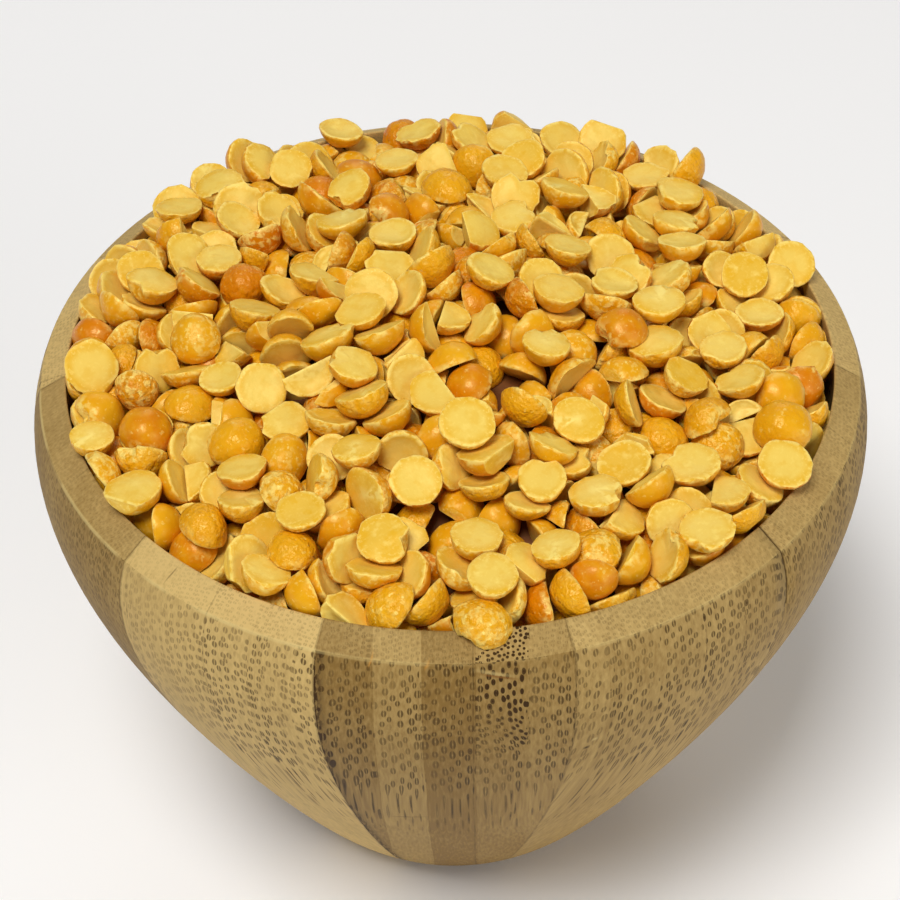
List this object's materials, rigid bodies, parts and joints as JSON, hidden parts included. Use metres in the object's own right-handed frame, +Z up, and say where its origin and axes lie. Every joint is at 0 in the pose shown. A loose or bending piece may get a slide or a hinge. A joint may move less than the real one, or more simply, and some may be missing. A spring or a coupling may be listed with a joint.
{
  "type": "bamboo bowl of dried yellow split peas",
  "caption": "Round bamboo bowl, swelling below its rim and tapering to a small flat foot, heaped over the brim with dried yellow split peas.",
  "frame": {"origin": "centre of the bowl's flat foot", "axes": "+Z up along the bowl's axis; -Y is the side of the rim where a single pea lies"},
  "size_m": [0.115, 0.115, 0.0988],
  "materials": {
    "bamboo": "laminated bamboo staves in lighter and darker strips, small dark fibre marks, satin oiled surface",
    "split_peas": "dried split peas, pale yellow cut faces and deeper orange-yellow domes, dusty scuffs, soft sheen"
  },
  "bodies": {
    "root": {"bowl": "bamboo", "pea_heap": "split_peas", "rim_pea": "split_peas"}
  },
  "joints": []
}
